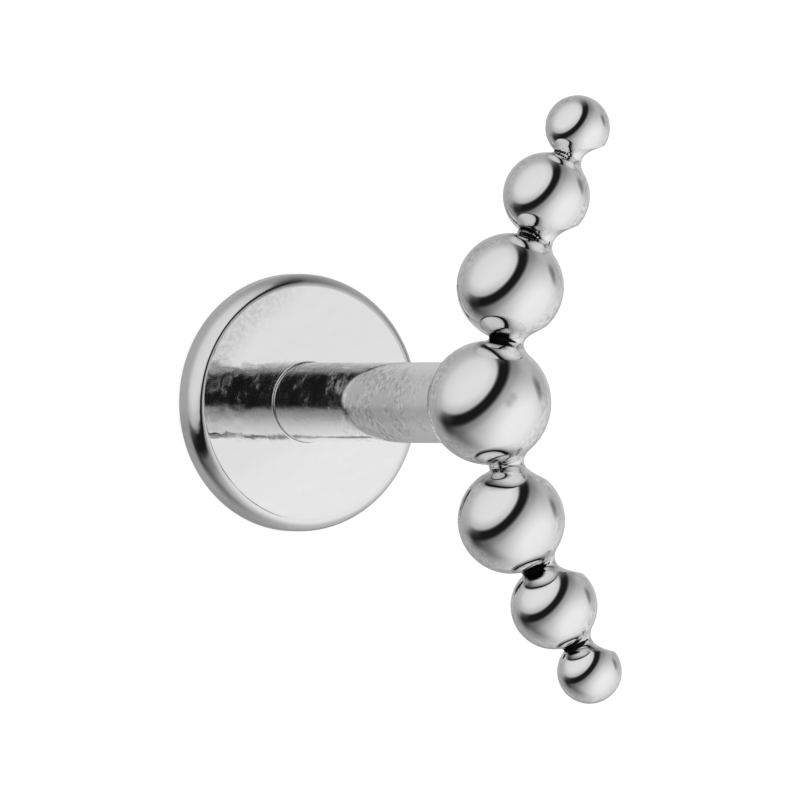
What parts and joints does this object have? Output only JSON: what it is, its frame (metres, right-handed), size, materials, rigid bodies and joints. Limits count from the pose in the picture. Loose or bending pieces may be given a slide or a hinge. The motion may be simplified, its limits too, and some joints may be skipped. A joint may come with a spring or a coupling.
{
  "type": "labret stud",
  "caption": "Body jewellery stud with a flat round back disc, a straight post and a curved row of graduated round beads across its outer end.",
  "frame": {"origin": "centre of the disc's flat back face, which the stud stands on", "axes": "+Z along the post toward the bead row, +Y along the bead row, +X toward the hollow side of the row's curve"},
  "size_m": [0.0041, 0.0093, 0.0075],
  "materials": {
    "disc_steel": "polished",
    "post_steel": "polished, with fine turning marks",
    "pin_steel": "turned",
    "bead_steel": "mirror polished"
  },
  "bodies": {
    "root": {"back_disc": "disc_steel", "post": "post_steel", "top_pin": "pin_steel", "bead_row": "bead_steel"}
  },
  "joints": []
}
